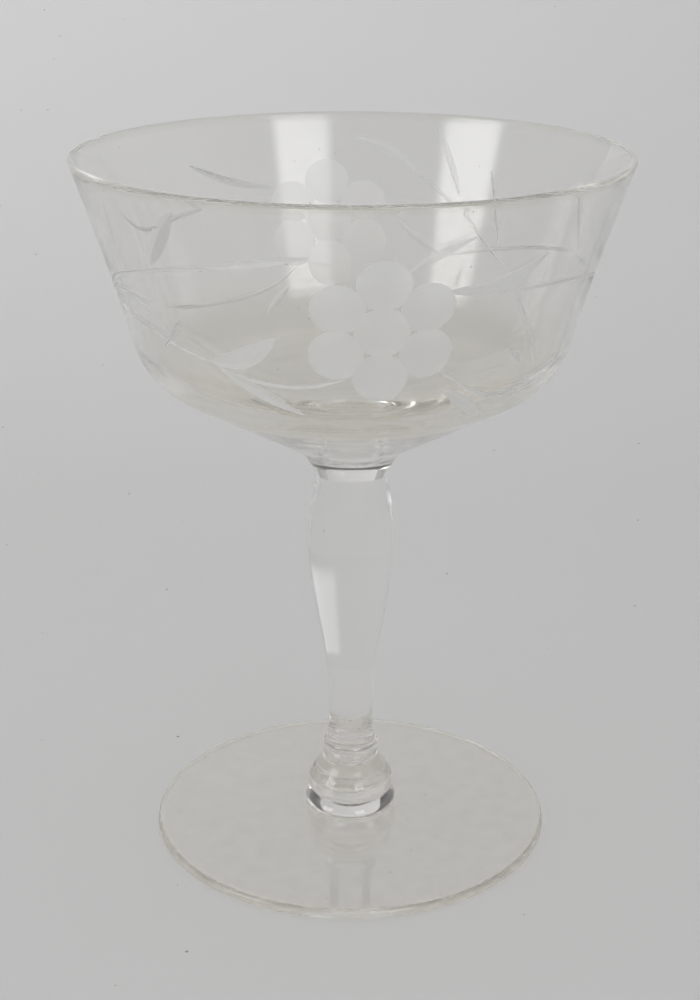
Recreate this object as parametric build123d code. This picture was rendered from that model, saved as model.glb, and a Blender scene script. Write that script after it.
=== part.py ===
"""Stemmed saucer champagne glass with wheel-cut grapes, leaves and tendrils.

Five gathers of clear glass, stacked on one axis and joined hot, face to face:
foot, button, merese, stem and bowl.  Millimetres, +Z up, origin at the centre
of the plane the foot rests on.  Angles on the bowl are in degrees round the
axis: 0 faces -Y and they grow towards +X.
"""
import os
from math import asin, atan2, cos, degrees, pi, radians, sin, sqrt, tan

from build123d import *

# ---- overall sizes ---------------------------------------------------------
glass_height = 128.0      # resting plane to lip
lip_radius = 48.0         # outside of the lip
foot_radius = 37.0        # outside of the foot

# ---- foot: a shallow cone with a fire-polished edge and a hollowed base ----
foot_edge = 2.0           # thickness at the edge
foot_crown = 2.5          # height where the button is stuck on
base_hollow_radius = 29.0 # the foot rests on the flat ring outside this
base_hollow_depth = 0.6

# ---- button and merese: the two small gathers between foot and stem --------
button_foot_radius = 7.8  # contact circle on the foot
button_radius = 8.7       # widest part
button_height = 3.8
merese_foot_radius = 7.3  # contact circle on the button
merese_radius = 7.95      # widest part
merese_height = 7.0

# ---- stem: an inverted baluster with two fine rings at its lower end -------
stem_foot_radius = 4.9    # contact circle on the merese
stem_ring_gap = 1.7       # rise of each fine ring
stem_waist_radius = 4.12  # thinnest part
stem_swell_radius = 7.95  # fullest part
stem_top_radius = 6.55    # contact circle under the bowl
stem_height = 57.2

# ---- bowl ------------------------------------------------------------------
neck_lean = 26.0          # degrees the neck leans out of vertical at the joint
neck_blend = 8.0          # radius that turns the neck into the base
base_rise = 29.0          # degrees the underside rises towards the shoulder
base_reach = 36.7         # radius where base and side would meet unblended
shoulder_blend = 14.0     # radius of the rounded shoulder
side_flare_sag = 0.42     # how far the flared side is hollowed outwards
wall = 1.2                # side wall thickness
floor_thickness = 8.9     # glass between the joint and the bowl's floor
floor_curve = 52.0        # radius of the dished floor
inner_shoulder = 12.0     # inside blend radius

# ---- wheel cutting ---------------------------------------------------------
grape_radius = 4.35       # each grape is a round, shallow dish
grape_pitch = 8.15        # so neighbours just overlap
grape_depth = 0.50        # at the middle of the dish
bunch_height = 107.2      # height of the middle grape
bunch_turn = 6.5          # angle of the front bunch; the other is opposite
line_width = 0.75         # stems and tendrils
line_depth = 0.22
leaf_depth = 0.42

# ---- levels of the stack ---------------------------------------------------
button_z = foot_crown
merese_z = button_z + button_height
stem_z = merese_z + merese_height
joint_z = stem_z + stem_height


def lathe(outline):
    """Turn a closed outline drawn in radius and height about the axis."""
    return revolve(make_face(outline), Axis.Z, 360)


def point(r, z):
    return Vector(r, 0, z)


def chain(*points):
    return [Line(a, b) for a, b in zip(points, points[1:])]


# ---- foot ------------------------------------------------------------------
foot_lip = foot_edge / 2 - 0.06
hollow_curve = (base_hollow_radius**2 + base_hollow_depth**2) / (2 * base_hollow_depth)
hollow_half = asin(base_hollow_radius / hollow_curve) / 2
hollow_middle = (
    hollow_curve * sin(hollow_half),
    base_hollow_depth - hollow_curve * (1 - cos(hollow_half)),
)
foot_profile = Plane.XZ * make_face(
    [
        Line((0, base_hollow_depth), (0, foot_crown)),
        Line((0, foot_crown), (button_foot_radius, foot_crown)),
        ThreePointArc(
            (button_foot_radius, foot_crown),
            (foot_radius * 0.5, foot_edge + 0.20),
            (foot_radius, foot_edge),
        ),
        Line((foot_radius, foot_edge), (foot_radius, 0)),
        Line((foot_radius, 0), (base_hollow_radius, 0)),
        ThreePointArc((base_hollow_radius, 0), hollow_middle, (0, base_hollow_depth)),
    ]
)
edge_corners = foot_profile.vertices().filter_by(lambda v: v.X > foot_radius - 0.01)
foot_profile = fillet(edge_corners, foot_lip)
foot = revolve(foot_profile, Axis.Z, 360)

# ---- button: a flattened bead ----------------------------------------------
button_profile = Plane.XZ * make_face(
    [
        *chain((merese_foot_radius, merese_z), (0, merese_z), (0, button_z),
               (button_foot_radius, button_z)),
        Spline(
            (button_foot_radius, button_z),
            (button_radius, button_z + button_height * 0.38),
            (merese_foot_radius, merese_z),
            tangents=[(0.9, 0.6), (-0.8, 0.5)],
        ),
    ]
)
button = revolve(button_profile, Axis.Z, 360)

# ---- merese: a domed collar, widest low down -------------------------------
merese_profile = Plane.XZ * make_face(
    [
        *chain((stem_foot_radius, stem_z), (0, stem_z), (0, merese_z),
               (merese_foot_radius, merese_z)),
        Spline(
            (merese_foot_radius, merese_z),
            (merese_radius, merese_z + merese_height * 0.38),
            (merese_radius * 0.82, merese_z + merese_height * 0.74),
            (stem_foot_radius, stem_z),
            tangents=[(0.9, 0.55), (-0.8, 0.35)],
        ),
    ]
)
merese = revolve(merese_profile, Axis.Z, 360)

# ---- stem ------------------------------------------------------------------
ring_low = (stem_foot_radius, stem_z + stem_ring_gap)
ring_high = (stem_foot_radius * 0.985, stem_z + 2 * stem_ring_gap)
stem_profile = Plane.XZ * make_face(
    [
        *chain((stem_top_radius, joint_z), (0, joint_z), (0, stem_z),
               (stem_foot_radius, stem_z)),
        RadiusArc((stem_foot_radius, stem_z), ring_low, -1.5),
        RadiusArc(ring_low, ring_high, -1.5),
        Spline(
            ring_high,
            (stem_waist_radius, stem_z + stem_height * 0.215),
            (stem_waist_radius * 1.14, stem_z + stem_height * 0.352),
            (stem_swell_radius * 0.79, stem_z + stem_height * 0.515),
            (stem_swell_radius, stem_z + stem_height * 0.76),
            (stem_top_radius, joint_z),
            tangents=[(-0.35, 1), (-0.12, 1)],
        ),
    ]
)
stem = revolve(stem_profile, Axis.Z, 360)

# ---- bowl: outside and inside outlines -------------------------------------
# the neck and the underside are two straight lines blended into one another
rise = tan(radians(base_rise))
lean = tan(radians(neck_lean))
side_turn_z = joint_z + 19.9
base_z0 = side_turn_z - rise * base_reach
neck_corner_z = (base_z0 + rise * stem_top_radius - rise * lean * joint_z) / (1 - rise * lean)
neck_corner_r = stem_top_radius + lean * (neck_corner_z - joint_z)
side_slope = atan2(lip_radius - base_reach, glass_height - side_turn_z)
lip_round = wall * 0.45
lip_slope = side_slope + 0.05
# rounding the lip draws its edge in, so the corner starts a little outside it
lip_corner = lip_radius + lip_round * ((1 + sin(lip_slope)) / cos(lip_slope) - 1)


def side_middle(low_r, low_z, high_r, high_z):
    """Middle of the side's outline, drawn in from the straight line."""
    return (
        (low_r + high_r) / 2 - side_flare_sag * cos(side_slope),
        (low_z + high_z) / 2 + side_flare_sag * sin(side_slope),
    )


outer = make_face(
    [
        *chain((lip_corner, glass_height), (0, glass_height), (0, joint_z),
               (stem_top_radius, joint_z), (neck_corner_r, neck_corner_z),
               (base_reach, side_turn_z)),
        ThreePointArc(
            (base_reach, side_turn_z),
            side_middle(base_reach, side_turn_z, lip_corner, glass_height),
            (lip_corner, glass_height),
        ),
    ]
)
neck_corner = outer.vertices().sort_by_distance((neck_corner_r, neck_corner_z, 0))[0]
outer = fillet([neck_corner], neck_blend)
shoulder_corner = outer.vertices().sort_by_distance((base_reach, side_turn_z, 0))[0]
outer = fillet([shoulder_corner], shoulder_blend)

# the inside: a dished floor, a blend and a side that keeps the wall thickness
wall_across = wall / cos(side_slope)
floor_z = joint_z + floor_thickness
inner_turn_r = base_reach - wall_across + 0.5
inner_turn_z = floor_z + floor_curve - sqrt(floor_curve**2 - inner_turn_r**2)
inner_lip_radius = lip_corner - wall_across
floor_half = asin(inner_turn_r / floor_curve) / 2
above = glass_height + 5
lip_lean = tan(lip_slope)
inner = make_face(
    [
        *chain((inner_lip_radius, glass_height),
               (inner_lip_radius + 5 * lip_lean, above), (0, above), (0, floor_z)),
        ThreePointArc(
            (0, floor_z),
            (floor_curve * sin(floor_half), floor_z + floor_curve * (1 - cos(floor_half))),
            (inner_turn_r, inner_turn_z),
        ),
        ThreePointArc(
            (inner_turn_r, inner_turn_z),
            side_middle(inner_turn_r, inner_turn_z, inner_lip_radius, glass_height),
            (inner_lip_radius, glass_height),
        ),
    ]
)
inner_corner = inner.vertices().sort_by_distance((inner_turn_r, inner_turn_z, 0))[0]
inner = fillet([inner_corner], inner_shoulder)

section = outer - inner
lip_corners = section.vertices().filter_by(lambda v: v.Y > glass_height - 0.01)
section = fillet(lip_corners, lip_round)
bowl = revolve(Plane.XZ * section, Axis.Z, 360)

# ---- where the outside of the bowl is, for placing the cuts ----------------
side_edges = [e for e in outer.edges() if e.center().X > 15 and e.center().Y < glass_height - 1]
skin = []
for edge in side_edges:
    skin += [((edge @ (i / 60)).X, (edge @ (i / 60)).Y) for i in range(61)]
skin = sorted(skin, key=lambda p: p[1])


def skin_radius(z):
    """Outside radius of the bowl at a height."""
    for (r0, z0), (r1, z1) in zip(skin, skin[1:]):
        if z0 <= z <= z1 and z1 > z0:
            return r0 + (r1 - r0) * (z - z0) / (z1 - z0)
    return lip_radius


def on_skin(angle, z):
    """Point on the outside of the bowl and the direction straight out of it."""
    slope = (skin_radius(z + 0.4) - skin_radius(z - 0.4)) / 0.8
    a = radians(angle)
    out = Vector(sin(a), -cos(a), 0)
    normal = (out - Vector(0, 0, 1) * slope).normalized()
    return out * skin_radius(z) + Vector(0, 0, z), normal


# ---- grapes: round dishes from a crowned wheel ------------------------------
# the crown's radius sets how deep a dish of this size is; the dish comes out
# round when the crown is as much tighter than the wheel as the bowl is curved
crown = grape_radius**2 / (2 * grape_depth)
grape_wheel = 1 / (1 / crown - 1 / skin_radius(bunch_height))
half = grape_radius * 1.6
drop = crown - sqrt(crown**2 - half**2)
wheel_section = Plane.XZ * make_face(
    [
        *chain((grape_wheel - drop, half), (0, half), (0, -half), (grape_wheel - drop, -half)),
        ThreePointArc((grape_wheel - drop, -half), (grape_wheel, 0), (grape_wheel - drop, half)),
    ]
)
grape_cutter = revolve(wheel_section, Axis.Z, 360)


def grape(angle, z):
    """The crowned wheel, held against the bowl at one grape."""
    spot, normal = on_skin(angle, z)
    around = Vector(0, 0, 1).cross(normal).normalized()
    hub = spot + normal * (grape_wheel - grape_depth)
    return Plane(origin=hub, x_dir=around, z_dir=normal.cross(around)) * grape_cutter


def bunch(turn):
    """Seven grapes: one in the middle and six round it."""
    wheels = [grape(turn, bunch_height)]
    for step in range(6):
        a = radians(90 + 60 * step)
        z = bunch_height + grape_pitch * sin(a) * cos(side_slope)
        across = degrees(grape_pitch * cos(a) / skin_radius(z))
        wheels.append(grape(turn + across, z))
    return wheels


# ---- leaves, stems and tendrils: V cuts run along the skin ------------------
def v_cut(path, width, depth, ridge=0.5, full_ends=False):
    """A V-shaped cutter that follows a path on the skin.

    path is a list of (angle, height); ridge is where the bottom of the V sits
    across the width.  A leaf swells from a point to its width and back, while
    a line keeps its width and only tapers at its two ends.
    """
    curve = Spline([Vector(a, z, 0) for a, z in path]) if len(path) > 2 else Line(
        Vector(*path[0], 0), Vector(*path[1], 0))
    (a0, z0), (a1, z1) = path[0], path[-1]
    length = max(abs(a1 - a0) * 0.72, abs(z1 - z0))
    count = max(5, int(length / 4.0) + 3)
    faces = []
    for i in range(count):
        t = i / (count - 1)
        here = curve @ t
        ahead = curve @ min(1, t + 0.01)
        behind = curve @ max(0, t - 0.01)
        spot, normal = on_skin(here.X, here.Y)
        along = (on_skin(ahead.X, ahead.Y)[0] - on_skin(behind.X, behind.Y)[0]).normalized()
        side = normal.cross(along).normalized()
        size = min(1.0, 4.5 * min(t, 1 - t) + 0.18) if full_ends else 0.10 + 0.90 * sin(pi * t)**0.8
        w, d = width * size, depth * size
        proud = 0.20
        grow = (d + proud) / d
        faces.append(
            make_face(
                Polyline(
                    spot - normal * d + side * (w * (0.5 - ridge)),
                    spot + normal * proud + side * (w * (0.5 - ridge + ridge * grow)),
                    spot + normal * proud + side * (w * (0.5 - ridge - (1 - ridge) * grow)),
                    close=True,
                )
            )
        )
    return loft(faces)


def line(*path):
    return v_cut(list(path), line_width, line_depth, 0.5, True)


def leaf(base, tip, width, bow=0.0, ridge=0.5):
    """A leaf from its base to its tip, bowed sideways in height by bow mm."""
    middle = ((base[0] + tip[0]) / 2, (base[1] + tip[1]) / 2 + bow)
    return v_cut([base, middle, tip], width, leaf_depth, ridge)


def cut_away(body, cutter):
    """Cut, and keep the glass: the chip the cutter takes off is dropped."""
    return max((body - cutter).solids(), key=lambda s: s.volume)


cuts = bunch(bunch_turn) + bunch(bunch_turn + 180)

# spray to the left of the front bunch, all springing from one place
cuts.append(line((-76, 107.5), (-66, 110.5), (-53, 113), (-40, 115.2), (-28, 116.7)))
cuts.append(leaf((-30, 116.5), (-8, 119.6), 1.5, 0.1, 0.6))
cuts.append(leaf((-75, 107), (-51, 107.6), 1.8, 0.8))
cuts.append(line((-76, 107), (-68, 104.9), (-53, 103), (-43, 101.4), (-33, 99.8)))
cuts.append(leaf((-34, 100.2), (-16.5, 105.8), 3.6, -1.3, 0.72))
cuts.append(leaf((-33, 99.8), (-11.5, 92.4), 2.3, -0.2, 0.6))
cuts.append(line((-32, 99.3), (-25, 98.1), (-17, 97.5), (-10, 97.7), (-2, 99.0)))
cuts.append(leaf((-50, 100.6), (-41, 106.7), 0.9, -0.4))
cuts.append(leaf((-84, 109), (-90, 118.5), 2.4, 0.0))

# spray to the right of the front bunch
cuts.append(leaf((20, 113.6), (43, 118), 3.0, -1.9, 0.35))
cuts.append(line((31, 112.3), (44, 112.3), (62, 111.1), (80, 109.2), (98, 108)))
cuts.append(line((36.5, 111.8), (41.5, 107), (46.5, 102.3), (49.5, 97.7)))
cuts.append(line((17.5, 101.7), (24, 98.2), (33, 94.9), (45, 94), (57.5, 95.1), (70, 97.2)))
cuts.append(leaf((22, 96.6), (36, 90.0), 2.6, 0.0))
cuts.append(leaf((45, 98.4), (38.5, 102), 0.9, 0.4))

# spray to the right of the rear bunch, as seen from the front
cuts.append(leaf((179, 123), (164, 117.4), 2.2, 0.8))
cuts.append(line((166, 118.2), (155.5, 113), (147.5, 109), (140, 104.8), (132, 101.6)))
cuts.append(leaf((160, 126.0), (151, 113), 1.5, 0.6))
cuts.append(leaf((143.5, 118.5), (135, 104.3), 1.5, 0.5))
cuts.append(leaf((168, 107.6), (154, 101.8), 1.6, -0.5))
cuts.append(leaf((163, 97.8), (143, 105.7), 2.0, 0.4))
cuts.append(line((154, 101.4), (136, 104.2), (118, 106.5), (100, 108.3)))
cuts.append(leaf((97, 109.2), (109, 117.5), 2.4, 0.0))

# spray to the left of the rear bunch, as seen from the front
cuts.append(leaf((-136.5, 119.7), (-159, 114.2), 1.5, -1.0))
cuts.append(line((-139, 111), (-126, 110.4), (-113.5, 110.1), (-106, 112.4), (-101, 116.2)))
cuts.append(leaf((-126, 111.4), (-109.5, 104.4), 4.6, 0.0, 0.35))
cuts.append(line((-110, 97.2), (-122.5, 95.1), (-135, 94.2), (-148, 94.6), (-158, 96.6), (-165, 99.6)))
cuts.append(leaf((-161, 95.6), (-152, 91.0), 1.8, 0.0))

for cutter in cuts:
    bowl = cut_away(bowl, cutter)

pieces = {"foot": foot, "button": button, "merese": merese, "stem": stem, "bowl": bowl}

os.makedirs("parts", exist_ok=True)
for name, piece in pieces.items():
    body = piece.solids()[0]
    body.label = name
    export_step(body, f"parts/{name}.step")
    box = body.bounding_box()
    print(name, "solids", len(piece.solids()), "volume", round(body.volume, 1),
          "z", round(box.min.Z, 2), round(box.max.Z, 2), "r", round(box.max.X, 2))
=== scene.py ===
# %% [markdown]
# # A stemmed champagne saucer, wheel-cut with grapes
# Clear soda glass in five gathers, foot, button, merese, stem and bowl, joined
# hot so that they read as one piece. The outside of the bowl is cut on small
# wheels and left grey. Everything is in metres in the part's own frame:
# +Z up, the foot resting on Z = 0, the front bunch of grapes facing -Y.

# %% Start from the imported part
from math import acos, asin, atan2, ceil, cos, degrees, hypot, pi, radians, sin, sqrt, tan

import bpy
import bmesh
import numpy as np
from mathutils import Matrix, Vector
from mathutils.geometry import delaunay_2d_cdt
from mathutils.kdtree import KDTree


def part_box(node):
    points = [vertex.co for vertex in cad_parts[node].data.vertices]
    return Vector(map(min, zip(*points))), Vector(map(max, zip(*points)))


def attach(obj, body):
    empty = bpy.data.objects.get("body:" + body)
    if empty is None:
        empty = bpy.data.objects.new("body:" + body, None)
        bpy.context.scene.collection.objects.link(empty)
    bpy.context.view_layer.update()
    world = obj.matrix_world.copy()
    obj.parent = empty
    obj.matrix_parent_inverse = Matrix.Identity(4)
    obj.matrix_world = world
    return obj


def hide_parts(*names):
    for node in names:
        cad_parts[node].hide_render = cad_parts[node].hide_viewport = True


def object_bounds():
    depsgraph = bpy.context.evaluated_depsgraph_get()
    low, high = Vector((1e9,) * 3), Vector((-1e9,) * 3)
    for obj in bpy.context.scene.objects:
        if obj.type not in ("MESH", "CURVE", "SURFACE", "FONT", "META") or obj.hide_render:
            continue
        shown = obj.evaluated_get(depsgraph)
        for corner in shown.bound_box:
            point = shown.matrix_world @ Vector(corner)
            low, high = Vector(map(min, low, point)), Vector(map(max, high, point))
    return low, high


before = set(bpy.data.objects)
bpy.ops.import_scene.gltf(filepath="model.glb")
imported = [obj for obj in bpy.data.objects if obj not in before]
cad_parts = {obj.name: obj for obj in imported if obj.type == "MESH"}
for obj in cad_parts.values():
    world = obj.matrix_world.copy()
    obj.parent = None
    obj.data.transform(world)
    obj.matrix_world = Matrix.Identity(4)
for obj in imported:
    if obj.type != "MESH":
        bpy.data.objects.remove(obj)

size_at_start = [list(corner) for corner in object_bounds()]
MM = 0.001
print("packed part reaches", [round(v / MM, 2) for v in size_at_start[1]], "mm")

# %% [markdown]
# ## Sizes
# The sizes that a glassmaker would write down, in millimetres: heights where
# one gather ends and the next begins, the radii between them, and the rounding
# of each corner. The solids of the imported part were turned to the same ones.

# %% Sizes
GLASS_HEIGHT = 128.0
LIP_RADIUS = 48.0
FOOT_RADIUS = 37.0
FOOT_EDGE = 2.0
HOLLOW_RADIUS = 29.0
HOLLOW_DEPTH = 0.6
BUTTON_Z = 2.5
MERESE_Z = 6.3
STEM_Z = 13.3
JOINT_Z = 70.5
STEM_TOP_RADIUS = 6.55
NECK_LEAN = radians(26)
NECK_BLEND = 8.0
BASE_RISE = radians(29)
BASE_REACH = 36.7
SIDE_TURN_Z = JOINT_Z + 19.9
SHOULDER_BLEND = 14.0
SIDE_SAG = 0.42
WALL = 1.2
FLOOR_Z = JOINT_Z + 8.9
FLOOR_CURVE = 52.0
INNER_SHOULDER = 12.0
AROUND = 240                            # steps in a full turn
ACROSS = 2.5                            # about how far apart points are on a flat disc

# %% [markdown]
# ## Outlines
# A turned piece is its outline, radius against height. Straight runs, arcs and
# the blends between them are worked out exactly, because clear glass shows a
# kink of a few hundredths of a millimetre as a broken reflection.

# %% Outline helpers
SAME_POINT = 1e-4                       # millimetres


def arc(centre, radius, a0, a1, step):
    """Points along an arc about centre, from angle a0 to a1, a step of degrees apart."""
    n = max(2, int(abs(a1 - a0) / radians(step)) + 1)
    return [(centre[0] + radius * cos(a0 + (a1 - a0) * i / n),
             centre[1] + radius * sin(a0 + (a1 - a0) * i / n)) for i in range(n + 1)]


def run(p, q, step=1.5):
    """Points along a straight line, about step apart."""
    n = max(1, int(hypot(q[0] - p[0], q[1] - p[1]) / step))
    return [(p[0] + (q[0] - p[0]) * i / n, p[1] + (q[1] - p[1]) * i / n) for i in range(n + 1)]


def meet(c1, r1, c2, r2, pick):
    """One of the two points that lie r1 from c1 and r2 from c2."""
    dx, dz = c2[0] - c1[0], c2[1] - c1[1]
    d = hypot(dx, dz)
    a = (d * d + r1 * r1 - r2 * r2) / (2 * d)
    h = sqrt(max(0.0, r1 * r1 - a * a)) * pick
    return c1[0] + (a * dx - h * dz) / d, c1[1] + (a * dz + h * dx) / d


def towards(a, b):
    """The angle of the way from a to b."""
    return atan2(b[1] - a[1], b[0] - a[0])


def bowed(p, q, sag):
    """Centre and radius of the shallow arc from p up to q, bowed towards the axis by sag."""
    half = hypot(q[0] - p[0], q[1] - p[1]) / 2
    radius = (half * half + sag * sag) / (2 * sag)
    ux, uz = (q[0] - p[0]) / (2 * half), (q[1] - p[1]) / (2 * half)
    reach = radius - sag
    return ((p[0] + q[0]) / 2 + uz * reach, (p[1] + q[1]) / 2 - ux * reach), radius


def swell(knots, first, last, per):
    """A smooth curve through (radius, height) knots, with its end directions and points per knot."""
    p = [Vector(k) for k in knots]
    way = [Vector(first).normalized()]
    for a, b, c in zip(p, p[1:], p[2:]):
        la, lb = (b - a).length, (c - b).length
        way.append(((b - a) / la * lb + (c - b) / lb * la).normalized())
    way.append(Vector(last).normalized())
    out = []
    for a, b, m0, m1 in zip(p, p[1:], way, way[1:]):
        s = (b - a).length
        for i in range(per):
            t = i / per
            out.append(tuple((2 * t**3 - 3 * t**2 + 1) * a + (t**3 - 2 * t**2 + t) * s * m0
                             + (3 * t**2 - 2 * t**3) * b + (t**3 - t**2) * s * m1))
    return out + [tuple(p[-1])]


def joined(*pieces):
    """One outline from several, without doubled points."""
    out = []
    for piece in pieces:
        for q in piece:
            if not out or hypot(q[0] - out[-1][0], q[1] - out[-1][1]) > SAME_POINT:
                out.append(q)
    return out


# %% [markdown]
# ### Bowl
# Outside: the neck leans out of the joint, blends into a shallow underside,
# turns at a rounded shoulder and runs up a slightly hollowed, flared side to a
# fire-polished lip. Inside: a dished floor blends into the same flare.

# %% Bowl outlines
rise, lean = tan(BASE_RISE), tan(NECK_LEAN)
under_z0 = SIDE_TURN_Z - rise * BASE_REACH
neck_z = (under_z0 + rise * STEM_TOP_RADIUS - rise * lean * JOINT_Z) / (1 - rise * lean)
neck_r = STEM_TOP_RADIUS + lean * (neck_z - JOINT_Z)
side_slope = atan2(LIP_RADIUS - BASE_REACH, GLASS_HEIGHT - SIDE_TURN_Z)
lip_round = WALL * 0.45                 # a lip rounded by nearly half of the wall
lip_slope = side_slope + 0.05           # the hollowed side is a little steeper up there
lip_corner = LIP_RADIUS + lip_round * ((1 + sin(lip_slope)) / cos(lip_slope) - 1)
side_c, side_R = bowed((BASE_REACH, SIDE_TURN_Z), (lip_corner, GLASS_HEIGHT), SIDE_SAG)

quarter = (pi / 2 - NECK_LEAN - BASE_RISE) / 2
neck_t = NECK_BLEND * tan(quarter)
neck_start = (neck_r - neck_t * sin(NECK_LEAN), neck_z - neck_t * cos(NECK_LEAN))
neck_c = (neck_start[0] + NECK_BLEND * cos(NECK_LEAN), neck_start[1] - NECK_BLEND * sin(NECK_LEAN))
neck_arc = arc(neck_c, NECK_BLEND, pi - NECK_LEAN, pi / 2 + BASE_RISE, 2.5)

low, high = 0.0, BASE_REACH            # slide the shoulder's centre till it touches the side
for _ in range(60):
    r = (low + high) / 2
    z = under_z0 + rise * r + SHOULDER_BLEND / cos(BASE_RISE)
    if hypot(r - side_c[0], z - side_c[1]) > side_R + SHOULDER_BLEND:
        low = r
    else:
        high = r
shoulder_c = (r, z)
side_low = towards(side_c, shoulder_c) % (2 * pi)
shoulder_arc = arc(shoulder_c, SHOULDER_BLEND, BASE_RISE - pi / 2, side_low - pi, 2.0)

top = GLASS_HEIGHT - lip_round
lip_out_c = (side_c[0] - sqrt((side_R + lip_round)**2 - (top - side_c[1])**2), top)
side_high = towards(side_c, lip_out_c) % (2 * pi)
side_arc = arc(side_c, side_R, side_low, side_high, 0.2)

wall_across = WALL / cos(side_slope)
turn_r = BASE_REACH - wall_across + 0.5 # the wall is a little thinner where the floor turns up
turn_z = FLOOR_Z + FLOOR_CURVE - sqrt(FLOOR_CURVE**2 - turn_r**2)
in_c, in_R = bowed((turn_r, turn_z), (lip_corner - wall_across, GLASS_HEIGHT), SIDE_SAG)
lip_in_c = (in_c[0] - sqrt((in_R - lip_round)**2 - (top - in_c[1])**2), top)
floor_c = (0.0, FLOOR_Z + FLOOR_CURVE)
blend_c = meet(floor_c, FLOOR_CURVE - INNER_SHOULDER, in_c, in_R + INNER_SHOULDER, 1)
if blend_c[1] > floor_c[1]:
    blend_c = meet(floor_c, FLOOR_CURVE - INNER_SHOULDER, in_c, in_R + INNER_SHOULDER, -1)
in_low = towards(in_c, blend_c) % (2 * pi)
in_high = towards(in_c, lip_in_c) % (2 * pi)
lip = joined(arc(lip_out_c, lip_round, side_high - pi, pi / 2, 12),
             arc(lip_in_c, lip_round, pi / 2, in_high, 12))
inside = joined(arc(in_c, in_R, in_high, in_low, 0.25),
                arc(blend_c, INNER_SHOULDER, in_low - pi, towards(floor_c, blend_c), 2.5),
                arc(floor_c, FLOOR_CURVE, towards(floor_c, blend_c), -pi / 2, 1.5))
outside = joined(run((STEM_TOP_RADIUS, JOINT_Z), neck_start), neck_arc,
                 run(neck_arc[-1], shoulder_arc[0]), shoulder_arc, side_arc)
print("bowl outline", len(outside), "points outside,", len(lip) + len(inside), "lip and inside")

# %% [markdown]
# ### Foot, button, merese and stem
# The foot is a thin disc, a little higher at its middle and hollowed under, so
# that it stands on a ring. The button and the merese are two soft knops, and the
# stem swells like a baluster and ends in two fine rings. A knop has no exact
# shape, so its outline is a smooth curve through a few knots; the rings and the
# edge of the foot are true arcs.

# %% Foot, button, merese and stem outlines
BUTTON_RADIUS = 7.8                     # where the button meets the foot
MERESE_RADIUS = 7.3                     # where the merese meets the button
STEM_RADIUS = 4.9                       # where the stem meets the merese
RING = 1.5                              # radius of the bead of a ring
RING_HALF = 0.85                        # half of a ring's height
edge = FOOT_EDGE / 2 - 0.06             # so that a narrow flat is left between two roundings
hollow = (HOLLOW_RADIUS**2 + HOLLOW_DEPTH**2) / (2 * HOLLOW_DEPTH)
hollow_c = (0.0, HOLLOW_DEPTH - hollow)
foot_outline = joined(
    run((0, BUTTON_Z), (BUTTON_RADIUS, BUTTON_Z), ACROSS),
    swell([(BUTTON_RADIUS, BUTTON_Z), (FOOT_RADIUS * 0.5, FOOT_EDGE + 0.2), (FOOT_RADIUS - edge, FOOT_EDGE)],
          (1, -0.04), (1, -0.004), 12),
    arc((FOOT_RADIUS - edge, FOOT_EDGE - edge), edge, pi / 2, 0, 9),
    arc((FOOT_RADIUS - edge, edge), edge, 0, -pi / 2, 9),
    run((FOOT_RADIUS - edge, 0), (HOLLOW_RADIUS, 0), ACROSS),
    arc(hollow_c, hollow, acos(HOLLOW_RADIUS / hollow), pi / 2, 0.2))
button_outline = joined(
    run((0, MERESE_Z), (MERESE_RADIUS, MERESE_Z), ACROSS),
    swell([(MERESE_RADIUS, MERESE_Z), (8.7, BUTTON_Z + 1.45), (BUTTON_RADIUS, BUTTON_Z)],
          (0.8, -0.5), (-0.9, -0.6), 14),
    run((BUTTON_RADIUS, BUTTON_Z), (0, BUTTON_Z), ACROSS))
merese_outline = joined(
    run((0, STEM_Z), (STEM_RADIUS, STEM_Z), ACROSS),
    swell([(STEM_RADIUS, STEM_Z), (6.52, MERESE_Z + 5.18), (7.95, MERESE_Z + 2.66),
           (MERESE_RADIUS, MERESE_Z)], (0.8, -0.35), (-0.9, -0.55), 14),
    run((MERESE_RADIUS, MERESE_Z), (0, MERESE_Z), ACROSS))
ring_in = sqrt(RING**2 - RING_HALF**2)
ring_turn = asin(RING_HALF / RING)
low_ring_c = (STEM_RADIUS - ring_in, STEM_Z + RING_HALF)
high_ring_c = (STEM_RADIUS - 0.04 - ring_in, STEM_Z + 3 * RING_HALF)    # a shade narrower
stem_outline = joined(
    run((0, JOINT_Z), (STEM_TOP_RADIUS, JOINT_Z), ACROSS),
    swell([(STEM_TOP_RADIUS, JOINT_Z), (7.95, STEM_Z + 43.5), (6.28, STEM_Z + 29.5), (4.7, STEM_Z + 20.1),
           (4.12, STEM_Z + 12.3), (4.83, STEM_Z + 3.4)], (0.12, -1), (0.35, -1), 16),
    arc(high_ring_c, RING, ring_turn, -ring_turn, 8),
    arc(low_ring_c, RING, ring_turn, -ring_turn, 8),
    run((STEM_RADIUS, STEM_Z), (0, STEM_Z), ACROSS))
print("stem outline", len(stem_outline), "merese", len(merese_outline), "foot", len(foot_outline))

# %% [markdown]
# ## The lathe
# Every gather of the real glass is round, because it was spun while it was hot.
# A Screw modifier or bmesh's spin could make that; a node tree is used, because
# one tree then serves all five pieces. A grid has one row of points per point
# of the outline; each is moved to that point's radius and height and turned by
# its share of a full circle, and then the join and the poles are welded.

# %% One helper for every node
def node(tree, kind, settings=None, **inputs):
    """Add a node, set it up, then give or link its inputs, by name or as i0, i1, i2."""
    made = tree.nodes.new(kind)
    for key, value in (settings or {}).items():
        setattr(made, key, value)
    for key, value in inputs.items():
        socket = made.inputs[int(key[1:])] if key[1:].isdigit() else made.inputs[key.replace("_", " ")]
        if isinstance(value, bpy.types.NodeSocket):
            tree.links.new(value, socket)
        else:
            socket.default_value = value
    return made


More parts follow.
